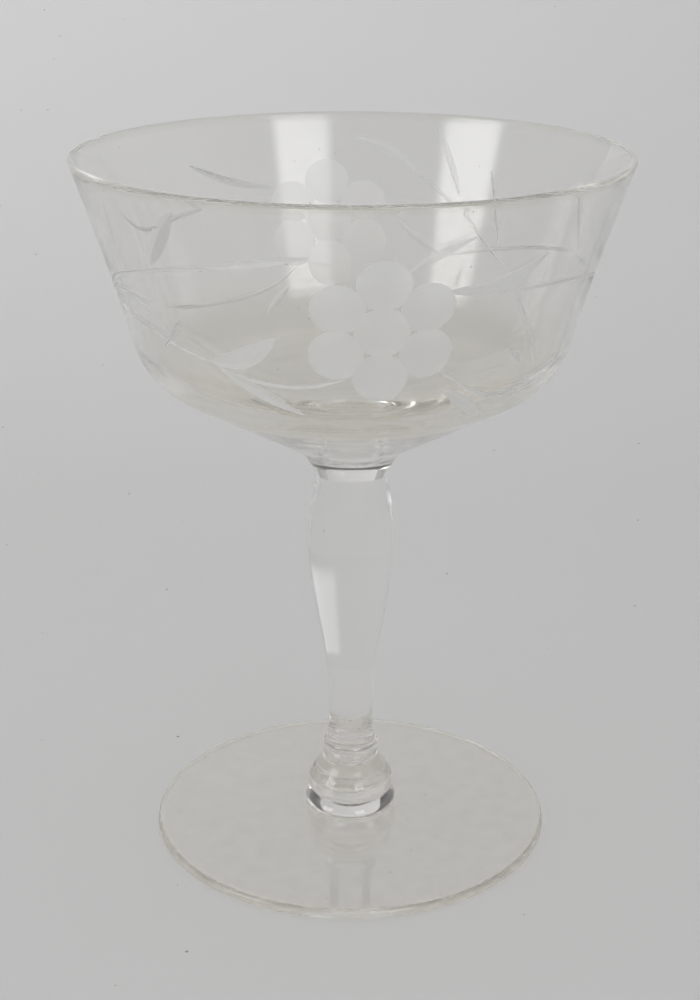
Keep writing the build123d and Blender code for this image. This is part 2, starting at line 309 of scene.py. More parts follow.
def maths(tree, operation, a, b=0.0):
    """The answer of one Math node."""
    return node(tree, "ShaderNodeMath", {"operation": operation}, i0=a, i1=b).outputs[0]


# %% Lathe node tree
WELD = 0.002                            # millimetres


def lathe_tree():
    """The lathe: an outline, the steps around and the rows in, a turned and welded mesh out."""
    tree = bpy.data.node_groups.new("lathe", "GeometryNodeTree")
    face = tree.interface
    face.new_socket("Outline", in_out="INPUT", socket_type="NodeSocketGeometry")
    for name, value in (("Around", AROUND), ("Rings", 10)):
        face.new_socket(name, in_out="INPUT", socket_type="NodeSocketInt").default_value = value
    face.new_socket("Glass", in_out="INPUT", socket_type="NodeSocketMaterial")
    face.new_socket("Turned", in_out="OUTPUT", socket_type="NodeSocketGeometry")
    given = tree.nodes.new("NodeGroupInput").outputs
    columns = maths(tree, "ADD", given["Around"], 1.0)
    grid = node(tree, "GeometryNodeMeshGrid", Vertices_X=columns, Vertices_Y=given["Rings"])
    index = tree.nodes.new("GeometryNodeInputIndex").outputs[0]
    column = maths(tree, "FLOOR", maths(tree, "DIVIDE", maths(tree, "ADD", index, 0.5), given["Rings"]))
    ring = maths(tree, "SUBTRACT", index, maths(tree, "MULTIPLY", column, given["Rings"]))
    spot = tree.nodes.new("GeometryNodeInputPosition").outputs[0]
    on = node(tree, "GeometryNodeSampleIndex", {"data_type": "FLOAT_VECTOR"}, Geometry=given["Outline"],
              Value=spot, Index=ring)
    radius_height = node(tree, "ShaderNodeSeparateXYZ", i0=on.outputs[0])
    turn = maths(tree, "MULTIPLY", maths(tree, "DIVIDE", column, given["Around"]), 2 * pi)
    x = maths(tree, "MULTIPLY", radius_height.outputs[0], maths(tree, "COSINE", turn))
    y = maths(tree, "MULTIPLY", radius_height.outputs[0], maths(tree, "SINE", turn))
    place = node(tree, "ShaderNodeCombineXYZ", X=x, Y=y, Z=radius_height.outputs[2])
    moved = node(tree, "GeometryNodeSetPosition", Geometry=grid.outputs["Mesh"], Position=place.outputs[0])
    welded = node(tree, "GeometryNodeMergeByDistance", Geometry=moved.outputs[0], Distance=WELD * MM)
    smooth = node(tree, "GeometryNodeSetShadeSmooth", Geometry=welded.outputs[0])
    real = node(tree, "GeometryNodeRealizeInstances", Geometry=smooth.outputs[0])
    glazed = node(tree, "GeometryNodeSetMaterial", Geometry=real.outputs[0], Material=given["Glass"])
    out = tree.nodes.new("NodeGroupOutput")
    tree.links.new(glazed.outputs[0], out.inputs[0])
    return tree


LATHE = lathe_tree()
print("lathe tree has", len(LATHE.nodes), "nodes")


# %% Turning a piece
CRISP = radians(38)                     # a sharper edge than this is not smoothed over


def turned(name, outline, glass):
    """A closed mesh turned from an outline of (radius, height) in millimetres."""
    wire = bpy.data.meshes.new(name + "_outline")
    wire.from_pydata([(r * MM, 0, z * MM) for r, z in outline], [], [])
    blank = bpy.data.objects.new(name + "_blank", wire)
    bpy.context.collection.objects.link(blank)
    lathe = blank.modifiers.new("lathe", "NODES")
    lathe.node_group = LATHE
    settings = {"Rings": len(outline), "Around": AROUND, "Glass": glass}
    for item in LATHE.interface.items_tree:
        if item.name in settings:
            lathe[item.identifier] = settings[item.name]
    graph = bpy.context.evaluated_depsgraph_get()
    mesh = bpy.data.meshes.new_from_object(blank.evaluated_get(graph))
    bpy.data.objects.remove(blank)
    mesh.name = name
    work = bmesh.new()
    work.from_mesh(mesh)
    bmesh.ops.recalc_face_normals(work, faces=work.faces)
    print(name, len(work.faces), "faces,", sum(not e.is_manifold for e in work.edges), "open edges")
    work.to_mesh(mesh)
    work.free()
    mesh.set_sharp_from_angle(angle=CRISP)
    return mesh


# %% [markdown]
# ## The wheel cuts
# A cutter holds the bowl against small stone wheels. Seven round dishes make a
# bunch of grapes, a crowned wheel's mark each; a V-edged wheel draws the stems
# and tendrils as thin grooves, and leans over to open them into leaves. The
# cuts could be a bump in the material, but a groove catches light on its two
# slopes and bends what is behind it, so here they are real dents in the wall.
#
# The band of wall that they lie in is laid out flat, as millimetres round the
# bowl against millimetres up its side. Outlines, ridges and a plain grid are
# triangulated together there, every point is pushed in by the deepest cut over
# it, and the sheet is wrapped back on the bowl.

# %% The wall that is cut
CUT_FROM_Z = 88.6
ROUND = 44.0                            # the flat sheet is this radius all the way up
SEAM = -96.0                            # degrees; no cut crosses the seam
STEP = 360.0 / AROUND
rows = [p for p in outside if p[1] > CUT_FROM_Z]
row_z = np.array([z for r, z in rows])
steps_up = [hypot(b[0] - a[0], b[1] - a[1]) for a, b in zip(rows, rows[1:])]
up_wall = np.concatenate(([0.0], np.cumsum(steps_up)))
turn_to_side = side_arc[0][1]


def wall_at(z):
    """Radius of the uncut wall and the direction out of it, as two columns, at heights z."""
    on_side = z >= turn_to_side
    r_side = side_c[0] - np.sqrt(side_R**2 - (z - side_c[1])**2)
    r_turn = shoulder_c[0] + np.sqrt(np.maximum(0, SHOULDER_BLEND**2 - (z - shoulder_c[1])**2))
    radius = np.where(on_side, r_side, r_turn)
    out = np.where(on_side, (side_c[0] - r_side) / side_R, (r_turn - shoulder_c[0]) / SHOULDER_BLEND)
    up = np.where(on_side, (side_c[1] - z) / side_R, (z - shoulder_c[1]) / SHOULDER_BLEND)
    return radius, out, up


def flat(angle, z):
    """Where a place on the wall lies on the flat sheet."""
    return np.stack([np.radians(angle) * ROUND, np.interp(z, row_z, up_wall)], -1)


print("cut band from", round(rows[0][1], 2), "to", round(rows[-1][1], 2), "mm,", len(rows), "rows")


# %% A path for the wheel
def glide(knots, count):
    """Evenly spaced points on a smooth curve through the knots."""
    knots = np.array(knots, float)
    if len(knots) == 2:
        return knots[0] + np.linspace(0, 1, count)[:, None] * (knots[1] - knots[0])
    t = np.concatenate(([0.0], np.cumsum(np.hypot(*np.diff(knots, axis=0).T))))
    gap, rate = np.diff(t), np.diff(knots, axis=0) / np.diff(t)[:, None]
    system, load = np.eye(len(t)), np.zeros((len(t), 2))
    for i in range(1, len(t) - 1):
        system[i, i - 1:i + 2] = gap[i - 1], 2 * (gap[i - 1] + gap[i]), gap[i]
        load[i] = 6 * (rate[i] - rate[i - 1])
    bend = np.linalg.solve(system, load)
    s = np.linspace(0, t[-1], count)
    k = np.clip(np.searchsorted(t, s, side="right") - 1, 0, len(t) - 2)
    a, b, h = (t[k + 1] - s)[:, None], (s - t[k])[:, None], gap[k][:, None]
    return ((bend[k] * a**3 + bend[k + 1] * b**3) / (6 * h)
            + (knots[k] / h - bend[k] * h / 6) * a + (knots[k + 1] / h - bend[k + 1] * h / 6) * b)


# %% A groove: a strip with a V across it
GROOVE_STEP = 1.0                       # millimetres along the path
BLUNT_TIP = 0.18                        # how wide a line is at its ends, as a share of its width
SHARP_TIP = 0.10                        # and a leaf


class Groove:
    """A V cut along a path of (angle, height); ridge is where its bottom sits across the width."""

    def __init__(self, path, width, depth, ridge, blunt):
        turns = 360.0 if min(a for a, z in path) < SEAM else 0.0
        path = [(a + turns, z) for a, z in path]
        (a0, z0), (a1, z1) = path[0], path[-1]
        count = max(9, ceil(hypot(radians(a1 - a0) * ROUND, z1 - z0) / GROOVE_STEP))
        spots = glide(path, count)
        self.stretch = float(wall_at(spots[:, 1].mean())[0]) / ROUND
        middle = flat(spots[:, 0], spots[:, 1]) * (self.stretch, 1)
        along = np.gradient(middle, axis=0)
        along /= np.linalg.norm(along, axis=1)[:, None]
        side = np.stack([-along[:, 1], along[:, 0]], -1)
        t = np.linspace(0, 1, count)
        if blunt:
            size = np.minimum(1, 4.5 * np.minimum(t, 1 - t) + BLUNT_TIP)
        else:
            size = SHARP_TIP + (1 - SHARP_TIP) * np.sin(pi * t)**0.8
        self.bottom = middle + side * (width * size * (0.5 - ridge))[:, None]
        left, right = (middle + side * (width * size * share)[:, None] for share in (0.5, -0.5))
        self.to_left = width * size * ridge
        self.to_right = width * size * (1 - ridge)
        self.depth = depth * size
        back = (1 / self.stretch, 1)
        self.lines = [np.vstack([left, right[::-1], left[:1]]) * back, self.bottom * back]

    def measure(self, spots):
        """Depth of this cut under each spot, and how far the spot is outside its outline."""
        p = spots * (self.stretch, 1)
        a, b = self.bottom[:-1], self.bottom[1:]
        way = b - a
        t = np.clip(((p[:, None] - a) * way).sum(-1) / (way**2).sum(-1), 0, 1)
        off = p[:, None] - (a + t[..., None] * way)
        far = np.linalg.norm(off, axis=-1)
        k = far.argmin(1)
        i = np.arange(len(p))
        t, off, far = t[i, k], off[i, k], far[i, k]
        mix = lambda values: values[:-1][k] * (1 - t) + values[1:][k] * t
        on_left = way[k, 0] * off[:, 1] - way[k, 1] * off[:, 0] > 0
        reach = np.where(on_left, mix(self.to_left), mix(self.to_right))
        return mix(self.depth) * np.maximum(0, 1 - far / reach), far - reach


# %% A dish: one round grape
GRAPE_RADIUS = 4.35
GRAPE_DEPTH = 0.50


class Dish:
    """A round grape, as deep as a crowned wheel leaves it."""

    def __init__(self, angle, z):
        self.stretch = float(wall_at(np.array(z))[0]) / ROUND
        self.centre = flat(angle, z) * (self.stretch, 1)
        self.lines = [self.centre[None] * (1 / self.stretch, 1)]
        for share, count in ((1.0, 48), (0.86, 40), (0.62, 28), (0.32, 14)):
            a = np.linspace(0, 2 * pi, count + 1)
            ring = self.centre + GRAPE_RADIUS * share * np.stack([np.cos(a), np.sin(a)], -1)
            self.lines.append(ring * (1 / self.stretch, 1))

    def measure(self, spots):
        """Depth of this dish under each spot, and how far the spot is outside its outline."""
        far = np.linalg.norm(spots * (self.stretch, 1) - self.centre, axis=-1)
        return GRAPE_DEPTH * np.maximum(0, 1 - (far / GRAPE_RADIUS)**2), far - GRAPE_RADIUS


# %% [markdown]
# ### The cutter's marks
# Each mark is a few places on the wall, as degrees round the bowl from the front
# and millimetres above the table. Leaves are opened to one side of their line,
# as a leaning wheel leaves them: ridge is the share of the width on that side.

# %% The cutter's marks
GRAPE_PITCH = 8.15
BUNCH_Z = 107.2
BUNCH_TURN = 6.5
LINE_WIDTH = 0.75
LINE_DEPTH = 0.22
LEAF_DEPTH = 0.42


def bunch(turn):
    """Seven grapes: one in the middle and six round it."""
    marks = [Dish(turn, BUNCH_Z)]
    for step in range(6):
        a = radians(90 + 60 * step)
        z = BUNCH_Z + GRAPE_PITCH * sin(a) * cos(side_slope)
        marks.append(Dish(turn + degrees(GRAPE_PITCH * cos(a) / float(wall_at(np.array(z))[0])), z))
    return marks


def line(*path):
    """A thin stem or tendril through the places given."""
    return Groove(path, LINE_WIDTH, LINE_DEPTH, 0.5, True)


def leaf(base, tip, width, bow=0.0, ridge=0.5):
    """A leaf from base to tip, bowed up by so much at its middle."""
    middle = ((base[0] + tip[0]) / 2, (base[1] + tip[1]) / 2 + bow)
    return Groove((base, middle, tip), width, LEAF_DEPTH, ridge, False)


marks = bunch(BUNCH_TURN) + bunch(BUNCH_TURN + 180) + [
    # spray to the left of the front bunch
    line((-76, 107.5), (-66, 110.5), (-53, 113), (-40, 115.2), (-28, 116.7)),
    leaf((-30, 116.5), (-8, 119.6), 1.5, 0.1, 0.6),
    leaf((-75, 107), (-51, 107.6), 1.8, 0.8),
    line((-76, 107), (-68, 104.9), (-53, 103), (-43, 101.4), (-33, 99.8)),
    leaf((-34, 100.2), (-16.5, 105.8), 3.6, -1.3, 0.72),
    leaf((-33, 99.8), (-11.5, 92.4), 2.3, -0.2, 0.6),
    line((-32, 99.3), (-25, 98.1), (-17, 97.5), (-10, 97.7), (-2, 99.0)),
    leaf((-50, 100.6), (-41, 106.7), 0.9, -0.4),
    leaf((-84, 109), (-90, 118.5), 2.4),
    # spray to the right of the front bunch
    leaf((20, 113.6), (43, 118), 3.0, -1.9, 0.35),
    line((31, 112.3), (44, 112.3), (62, 111.1), (80, 109.2), (98, 108)),
    line((36.5, 111.8), (41.5, 107), (46.5, 102.3), (49.5, 97.7)),
    line((17.5, 101.7), (24, 98.2), (33, 94.9), (45, 94), (57.5, 95.1), (70, 97.2)),
    leaf((22, 96.6), (36, 90.0), 2.6),
    leaf((45, 98.4), (38.5, 102), 0.9, 0.4),
    # spray to the right of the rear bunch, as seen from the front
    leaf((179, 123), (164, 117.4), 2.2, 0.8),
    line((166, 118.2), (155.5, 113), (147.5, 109), (140, 104.8), (132, 101.6)),
    leaf((160, 126.0), (151, 113), 1.5, 0.6),
    leaf((143.5, 118.5), (135, 104.3), 1.5, 0.5),
    leaf((168, 107.6), (154, 101.8), 1.6, -0.5),
    leaf((163, 97.8), (143, 105.7), 2.0, 0.4),
    line((154, 101.4), (136, 104.2), (118, 106.5), (100, 108.3)),
    leaf((97, 109.2), (109, 117.5), 2.4),
    # spray to the left of the rear bunch, as seen from the front
    leaf((-136.5, 119.7), (-159, 114.2), 1.5, -1.0),
    line((-139, 111), (-126, 110.4), (-113.5, 110.1), (-106, 112.4), (-101, 116.2)),
    leaf((-126, 111.4), (-109.5, 104.4), 4.6, 0.0, 0.35),
    line((-110, 97.2), (-122.5, 95.1), (-135, 94.2), (-148, 94.6), (-158, 96.6), (-165, 99.6)),
    leaf((-161, 95.6), (-152, 91.0), 1.8),
]
print(len(marks), "marks of the wheel")


# %% How deep, and which way it faces
FAR = 9.0                               # millimetres; further than this from a cut is all the same
NUDGE = 0.02                            # millimetres, to read a slope by


def survey(spots):
    """Depth of the deepest cut under each spot, and how far it is outside the nearest outline."""
    depth, gap = np.zeros(len(spots)), np.full(len(spots), FAR)
    for mark in marks:
        outline = mark.lines[0] if len(mark.lines[0]) > 1 else mark.lines[1]    # a dish's first is its middle
        near = ((spots > outline.min(0) - 1) & (spots < outline.max(0) + 1)).all(1)
        if near.any():
            deep, off = mark.measure(spots[near])
            depth[near] = np.maximum(depth[near], deep)
            gap[near] = np.minimum(gap[near], off)
    return depth, gap


def wrapped(spots, depth):
    """Places in the room for spots on the flat sheet, pushed in by depth, all in millimetres."""
    z = np.interp(spots[:, 1], up_wall, row_z)
    radius, out, up = wall_at(z)
    a = spots[:, 0] / ROUND
    r = radius - out * depth
    return np.stack([r * np.sin(a), -r * np.cos(a), z - up * depth], -1)


def slope_along(spots, step):
    """How fast the cuts get deeper along a step of the flat sheet."""
    return (survey(spots + step)[0] - survey(spots - step)[0]) / (2 * NUDGE)


def facing(spots, cut):
    """The direction out of the glass at spots: the wall's own, tipped by the slope of the cut."""
    z = np.interp(spots[:, 1], up_wall, row_z)
    radius, out, up = wall_at(z)
    a = spots[:, 0] / ROUND
    sin_a, cos_a, none = np.sin(a), np.cos(a), np.zeros(len(a))
    normal = np.stack([out * sin_a, -out * cos_a, up], -1)
    around = np.stack([cos_a, sin_a, none], -1)
    rising = np.stack([-up * sin_a, up * cos_a, out], -1)
    across_slope = slope_along(spots, (NUDGE, 0)) * ROUND / radius
    up_slope = slope_along(spots, (0, NUDGE))
    tipped = normal + cut[:, None] * (across_slope[:, None] * around + up_slope[:, None] * rising)
    return tipped / np.linalg.norm(tipped, axis=1)[:, None]


# %% The flat sheet, triangulated
CLEAR_OF_CUT = 0.35                     # grid points nearer an outline than this are left out
SHALLOW = 1e-3                          # millimetres; a triangle is ground if it is deeper
LEVEL = 1e-4                            # millimetres; a point shallower than this stays on the wall
MEET = 1e-4                             # millimetres; points nearer than this are one
INWARDS = 0.8                           # a corner's share of the place where its direction is read
points, edges = [], []


def draw(path):
    """Add a path's points, and the edges between them, to the sheet."""
    first = len(points)
    points.extend(map(tuple, path))
    edges.extend((i, i + 1) for i in range(first, first + len(path) - 1))


columns = np.radians(SEAM + STEP * np.arange(AROUND + 1)) * ROUND
corners = np.array([(x, y) for x in columns[1:-1] for y in up_wall[1:-1]])
points.extend(map(tuple, corners[survey(corners)[1] > CLEAR_OF_CUT]))
for height in (up_wall[0], up_wall[-1]):
    draw([(x, height) for x in columns])
for x in (columns[0], columns[-1]):
    draw([(x, y) for y in up_wall])
for mark in marks:
    for path in mark.lines:
        draw(path)
sheet, _, triangles, *_ = delaunay_2d_cdt([Vector(p) for p in points], edges, [], 1, MEET)
spots = np.array([tuple(p) for p in sheet])
triangles = np.array([list(t) for t in triangles])
centres = spots[triangles].mean(1)
is_cut = survey(centres)[0] > SHALLOW
depths = survey(spots)[0]
depths[np.abs(depths) < LEVEL] = 0.0
places = wrapped(spots, depths)
print(len(spots), "points,", len(triangles), "triangles,", int(is_cut.sum()), "of them ground")

# a corner's direction is read a little way into its own triangle, so that the
# two slopes of a V each keep their own
inner = spots[triangles] * INWARDS + centres[:, None] * (1 - INWARDS)
corner_cut = np.repeat(is_cut, 3)
where = np.where(corner_cut[:, None], inner.reshape(-1, 2), spots[triangles].reshape(-1, 2))
sheet_normals = facing(where, corner_cut).reshape(-1, 3, 3)


# %% [markdown]
# ## Writing a finish down
# Each finish is a small sum: so much haze here, so many specks there. A wrapped
# socket lets that sum be written as a sum, and adds the maths nodes itself.

# %% Sockets that can be added up
class Wire:
    """What a node gives, so that finishes can be written with + - * > and <."""

    def __init__(self, batch, socket):
        self.batch, self.socket = batch, socket

    def maths(self, operation, other, other_first=False):
        """The Math node for one operator."""
        pair = (other, self) if other_first else (self, other)
        return self.batch.add("ShaderNodeMath", {"operation": operation}, i0=pair[0], i1=pair[1])

    def __add__(self, other):
        return self.maths("ADD", other)

    def __sub__(self, other):
        return self.maths("SUBTRACT", other)

    def __rsub__(self, other):
        return self.maths("SUBTRACT", other, True)

    def __mul__(self, other):
        return self.maths("MULTIPLY", other)

    def __gt__(self, other):
        return self.maths("GREATER_THAN", other)

    def __lt__(self, other):
        return self.maths("LESS_THAN", other)

    __radd__, __rmul__ = __add__, __mul__


class Batch:
    def __init__(self, name):
        self.material = bpy.data.materials.new(name)
        self.material.use_nodes = True
        self.tree = self.material.node_tree
        self.tree.nodes.clear()

    def add(self, kind, settings=None, out=0, **inputs):
        """A node of this kind, as the output that is wanted of it."""
        given = {key: value.socket if isinstance(value, Wire) else value for key, value in inputs.items()}
        return Wire(self, node(self.tree, kind, settings, **given).outputs[out])

    def noise(self, spot, per_metre, detail, seed):
        """Soft noise between 0 and 1, with so many waves to the metre."""
        return self.add("ShaderNodeTexNoise", {"noise_dimensions": "4D"}, Vector=spot, W=seed,
                        Scale=per_metre, Detail=detail)

    def ramp(self, value, low, high):
        """A smooth step from 0 at low to 1 at high."""
        return self.add("ShaderNodeMapRange", {"interpolation_type": "SMOOTHSTEP"}, Value=value,
                        From_Min=low, From_Max=high)

    def between(self, share, first, second):
        """The first colour at share 0, the second at share 1."""
        return self.add("ShaderNodeMix", {"data_type": "RGBA"}, out=2, i0=share, i6=first, i7=second)

    def matt(self, colour, **inputs):
        """Something dry: dust, powder or paper."""
        return self.add("ShaderNodeBsdfPrincipled", Base_Color=colour, Roughness=0.9, **inputs)

    def mixed(self, share, first, second):
        """The first shader at share 0, the second at share 1."""
        return self.add("ShaderNodeMixShader", i0=share, i1=first, i2=second)

    def finish(self, shader):
        """Give the material this shader, and hand the material back."""
        node(self.tree, "ShaderNodeOutputMaterial", Surface=shader.socket)
        print(self.material.name, "is", len(self.tree.nodes), "nodes")
        return self.material


# %% [markdown]
# ## Clear glass
# Old soda glass is not quite colourless. It has a faint straw tint that shows
# where it is thick or seen edge on. It is also not quite flat: it was shaped
# hot, so reflections in it waver. Years of wiping leave a film, the edges are
# scuffed, and there is a little lint and dust. A Glass shader could make the
# body; a fully transmitting Principled one is used, because an export keeps it.
#
# Cycles lights what stands behind glass only by chance rays, which is slow and
# noisy, so for lamp rays and for light off the paper the glass is a plain
# tinted Transparent shader. What the eye sees is still the real glass.

# %% Letting light by
LET_BY = (0.97, 0.964, 0.953, 1)        # what one wall of glass lets through


def let_light_by(batch, shader):
    """The shader for what the eye sees, and tinted nothing for lamps and for light off the paper."""
    clear = batch.add("ShaderNodeBsdfTransparent", Color=LET_BY)
    for ray in ("Is Shadow Ray", "Is Diffuse Ray"):
        shader = batch.mixed(batch.add("ShaderNodeLightPath", out=ray), shader, clear)
    return shader


# %% Lint and dust
def specks(batch, spot, per_metre, size, few, seed):
    """A mask of lint and dust: about one cell in so many has a speck of this size."""
    place = batch.add("ShaderNodeVectorMath", {"operation": "ADD"}, i0=spot, i1=(seed, seed, seed))
    cell = {"Vector": place, "Scale": per_metre}
    near = batch.add("ShaderNodeTexVoronoi", out="Distance", **cell) < size
    lot = batch.add("ShaderNodeSeparateColor", i0=batch.add("ShaderNodeTexVoronoi", out="Color", **cell))
    return near * (lot > 1 - few)


# %% Clear glass
SODA_GLASS_IOR = 1.51
DUST = (0.76, 0.73, 0.66, 1)
LINT = (0.36, 0.31, 0.27, 1)
EDGE_BLUR = 0.07
EDGE_FROM, EDGE_TO = -0.0002, 0.0003    # metres, how gradually an edge begins


def clear_glass(name, tint, deep_tint, deep, edge_tint, edge, worn, haze, veil, waver, lint):
    """Clear glass, all in metres.

    tint is its colour, and deep_tint the colour round the height deep[0], as far as deep[1].
    edge is how far from the axis its edge begins, edge_tint the edge's colour, worn how scuffed it is.
    haze is how much the film of wiping blurs, veil how much it greys, waver how far the surface
    strays, and lint the share of places that have a speck.
    """
    batch = Batch(name)
    spot = batch.add("ShaderNodeTexCoord", out="Object")
    height = batch.add("ShaderNodeSeparateXYZ", out="Z", Vector=spot)
    level = batch.add("ShaderNodeVectorMath", {"operation": "MULTIPLY"}, i0=spot, i1=(1, 1, 0))
    from_axis = batch.add("ShaderNodeVectorMath", {"operation": "LENGTH"}, out="Value", i0=level)
    film = batch.ramp(batch.noise(spot, 260, 7.0, 1.0), 0.25, 0.80)
    wipes = batch.noise(spot, 520, 3.0, 2.0)

    from_deep = batch.add("ShaderNodeMath", {"operation": "ABSOLUTE"}, i0=height - deep[0])
    patchy = (batch.noise(spot, 40, 2.0, 3.0) - 0.5) * 0.3
    share = batch.ramp(from_deep, deep[1], 0.0) + patchy
    body = batch.between(batch.ramp(share, 0.0, 1.0), tint, deep_tint)
    at_edge = batch.ramp(from_axis, edge + EDGE_FROM, edge + EDGE_TO)
    colour = batch.between(at_edge, body, edge_tint)

    wave = batch.noise(spot, 42, 1.0, 4.0) + batch.noise(spot, 130, 1.0, 5.0) * 0.12
    bump = batch.add("ShaderNodeBump", Strength=1.0, Distance=waver, Height=wave)
    glass = batch.add("ShaderNodeBsdfPrincipled", Base_Color=colour, IOR=SODA_GLASS_IOR,
                      Roughness=film * wipes * haze + at_edge * EDGE_BLUR,
                      Transmission_Weight=1.0, Normal=bump)
    dusty = batch.mixed(film * veil + at_edge * worn, glass, batch.matt(DUST))
    specked = specks(batch, spot, 620, 0.075, lint, 3.1) + specks(batch, spot, 260, 0.045, lint, 7.7)
    return batch.finish(let_light_by(batch, batch.mixed(specked, dusty, batch.matt(LINT))))


bowl_clear = clear_glass(
    "bowl_clear_glass",
    tint=(0.986, 0.980, 0.966, 1), deep_tint=(0.948, 0.928, 0.868, 1), deep=(0.086, 0.016),
    edge_tint=(0.930, 0.930, 0.872, 1), edge=0.0477, worn=0.08,
    haze=0.10, veil=0.01, waver=0.00005, lint=0.05)
stem_clear = clear_glass(
    "stem_clear_glass",
    tint=(0.995, 0.990, 0.982, 1), deep_tint=(0.972, 0.958, 0.928, 1), deep=(0.006, 0.012),
    edge_tint=(0.995, 0.990, 0.982, 1), edge=0.0470, worn=0.0,
    haze=0.08, veil=0.0, waver=0.00010, lint=0.03)
foot_clear = clear_glass(
    "foot_clear_glass",
    tint=(0.992, 0.982, 0.962, 1), deep_tint=(0.992, 0.982, 0.962, 1), deep=(0.0015, 0.003),
    edge_tint=(0.972, 0.976, 0.940, 1), edge=0.0362, worn=0.28,
    haze=0.22, veil=0.035, waver=0.00004, lint=0.16)

# %% [markdown]
# ## Ground glass
# A stone wheel leaves glass grey: the surface is a field of tiny pits that
# scatter light. The cuts were left so, not polished. Rough glass does it, with
# the roughness wandering as the wheel's pressure did, a fine grain for the
# pits, and a little white scattered back by the powdery surface. Less powder is
# put on the side that faces away from the front bunch. That is painted shade,
# so that the far cuts, seen through the bowl, look fainter.

# %% Ground glass
PIT = 0.00001                           # metres deep
POWDER = (0.88, 0.88, 0.87, 1)
SHADED_FAR_SIDE_SHARE = 0.45                      # the share of powder kept on the far side; the rest is taken off as painted shade
TURN_FROM, TURN_TO = 0.020, -0.010      # metres along Y, where the far side ends and the near begins


def ground_glass(name):
    """Rough glass under a thin white powder."""
    batch = Batch(name)
    spot = batch.add("ShaderNodeTexCoord", out="Object")
    pressure = batch.noise(spot, 700, 2.0, 1.0)
    grain = batch.noise(spot, 9000, 2.0, 2.0)
    bump = batch.add("ShaderNodeBump", Strength=0.6, Distance=PIT, Height=grain)
    colour = batch.between(pressure, (0.93, 0.93, 0.925, 1), (0.985, 0.985, 0.98, 1))
    glass = batch.add("ShaderNodeBsdfPrincipled", Base_Color=colour, Roughness=0.34 + pressure * 0.18,
                      IOR=SODA_GLASS_IOR, Transmission_Weight=1.0, Normal=bump)
    depth = batch.add("ShaderNodeSeparateXYZ", out="Y", Vector=spot)
    near_side = batch.ramp(depth, TURN_FROM, TURN_TO)
    # painted shade: less white powder on the far side, where the cuts are seen through the bowl
    share = (0.38 + 0.24 * grain) * (SHADED_FAR_SIDE_SHARE + (1 - SHADED_FAR_SIDE_SHARE) * near_side)
    return batch.finish(let_light_by(batch, batch.mixed(share, glass, batch.matt(POWDER))))


ground = ground_glass("ground_glass")

# %% [markdown]
# ## Where two gathers meet
# The pieces were joined hot, so there is no surface between them: light goes
# from one to the next unbent. Each mesh still has to be closed, so the two
# discs that touch at a joint get a shader that does nothing.

# %% Joint
joint_batch = Batch("hot_joint")
hot_joint = joint_batch.finish(joint_batch.add("ShaderNodeBsdfTransparent", Color=(1, 1, 1, 1)))


# %% [markdown]
# ## The five gathers
# Each is turned from its outline and stands for its solid. The solids could have
# stayed and been given the glass, but they are loose triangles, and glass shows
# every one of them. The bowl's cut band takes the place of the same stretch of
# plain wall, welded in point for point.

# %% Pieces
CLEAR, JOINED, GROUND = 0, 1, 2         # places in a mesh's list of materials


def close_joints(mesh, clear, heights):
    """Give a piece its glass, and the joint's finish to the flat discs at these heights."""
    mesh.materials.clear()
    mesh.materials.append(clear)
    mesh.materials.append(hot_joint)
    for face in mesh.polygons:
        flat_disc = any(abs(face.center.z / MM - z) < WELD / 2 for z in heights)
        face.material_index = JOINED if flat_disc else CLEAR


def placed(name, mesh):
    """Put a mesh in the room as the piece that stands for a solid."""
    piece = bpy.data.objects.new(name + "_glass", mesh)
    bpy.context.collection.objects.link(piece)
    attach(piece, "root")
    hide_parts(name)
    made = np.array([v.co for v in mesh.vertices]) / MM
    grown = np.abs(np.array([made.min(0), made.max(0)]) - np.array(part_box(name)) / MM).max()
    print(name, "is within", round(float(grown), 3), "mm of its solid's box")
    return piece


for name, outline, clear, heights, slot in (
        ("foot", foot_outline, foot_clear, (BUTTON_Z,), "foot_glass"),
        ("button", button_outline, stem_clear, (BUTTON_Z, MERESE_Z), "stem_glass"),
        ("merese", merese_outline, stem_clear, (MERESE_Z, STEM_Z), "stem_glass"),
        ("stem", stem_outline, stem_clear, (STEM_Z, JOINT_Z), "stem_glass")):
    mesh = turned(name + "_glass", outline, clear)
    close_joints(mesh, clear, heights)
    placed(name, mesh)


